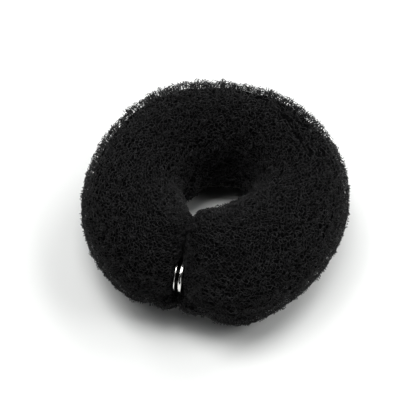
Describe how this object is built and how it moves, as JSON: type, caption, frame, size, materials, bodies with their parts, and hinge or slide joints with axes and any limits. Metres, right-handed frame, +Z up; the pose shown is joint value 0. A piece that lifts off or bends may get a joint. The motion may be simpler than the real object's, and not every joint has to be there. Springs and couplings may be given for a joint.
{
  "type": "hair bun donut",
  "caption": "Padded ring of black knitted net closed by a metal press stud, worn under a hair bun to give it volume.",
  "frame": {"origin": "under the middle of the ring, on the surface that it lies on", "axes": "+Z up along the hole, -Y to the front, where the ends meet left of the middle"},
  "size_m": [0.0934, 0.0933, 0.0386],
  "materials": {
    "net": "open knitted net of black synthetic thread",
    "wound_net": "the same black net wound tight",
    "snap_metal": "bright nickel plate on pressed metal",
    "rivet_metal": "plain plated metal, hidden inside the net"
  },
  "bodies": {
    "root": {"net_sleeve": "net", "net_filling": "wound_net", "snap_socket": "snap_metal", "snap_stud": "snap_metal", "socket_rivet": "rivet_metal", "stud_rivet": "rivet_metal"}
  },
  "joints": []
}
